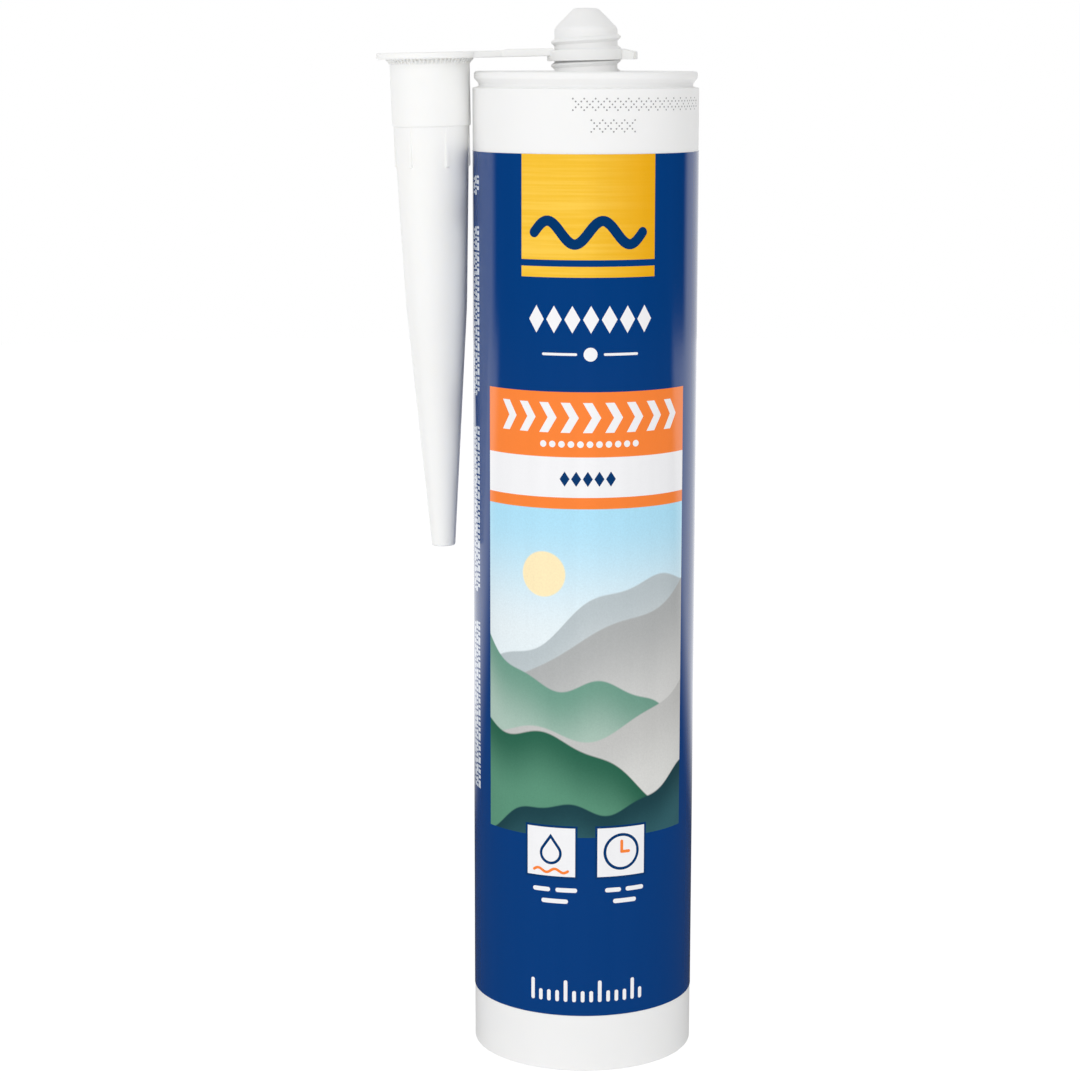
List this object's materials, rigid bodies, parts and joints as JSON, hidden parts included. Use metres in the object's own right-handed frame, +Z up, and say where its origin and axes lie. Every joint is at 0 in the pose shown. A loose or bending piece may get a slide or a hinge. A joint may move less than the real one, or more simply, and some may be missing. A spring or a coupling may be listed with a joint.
{
  "type": "sealant cartridge",
  "caption": "Upright plastic sealant cartridge with a printed film label, a sliding plunger inside and a tapered nozzle hanging by its eye from the threaded neck.",
  "frame": {"origin": "centre of the barrel's open end, in the plane of the rim that the cartridge stands on", "axes": "+Z up the barrel towards the neck, -Y towards the front of the printed label, -X towards the hanging nozzle"},
  "size_m": [0.0708, 0.0499, 0.2342],
  "materials": {
    "barrel_plastic": "satin white polyethylene",
    "film": "glossy deep blue film",
    "yellow_ink": "yellow ink with a fine brushed look",
    "orange_ink": "glossy orange ink",
    "white_ink": "glossy white ink",
    "picture_ink": "glossy print in pale blue, grey and green fields",
    "tile_ink": "glossy white print tiles with blue borders",
    "sealant": "soft white paste",
    "plunger_plastic": "matt white polyethylene",
    "nozzle_plastic": "milky natural polyethylene"
  },
  "bodies": {
    "cartridge": {"cartridge": "barrel_plastic", "label": "film", "yellow_print": "yellow_ink", "orange_print": "orange_ink", "white_print": "white_ink", "picture_print": "picture_ink", "tile_print": "tile_ink", "sealant": "sealant"},
    "plunger": {"plunger": "plunger_plastic"},
    "nozzle": {"nozzle": "nozzle_plastic"}
  },
  "joints": [
    {"name": "plunger_slide", "type": "slide", "parent": "cartridge", "child": "plunger", "axis": [0, 0, 1], "range_m": [0, 0.1653], "deforming": ["sealant"]},
    {"name": "nozzle_swivel", "type": "hinge", "parent": "cartridge", "child": "nozzle", "pos_m": [0, 0, 0.224], "axis": [0, 0, 1], "continuous": true}
  ]
}
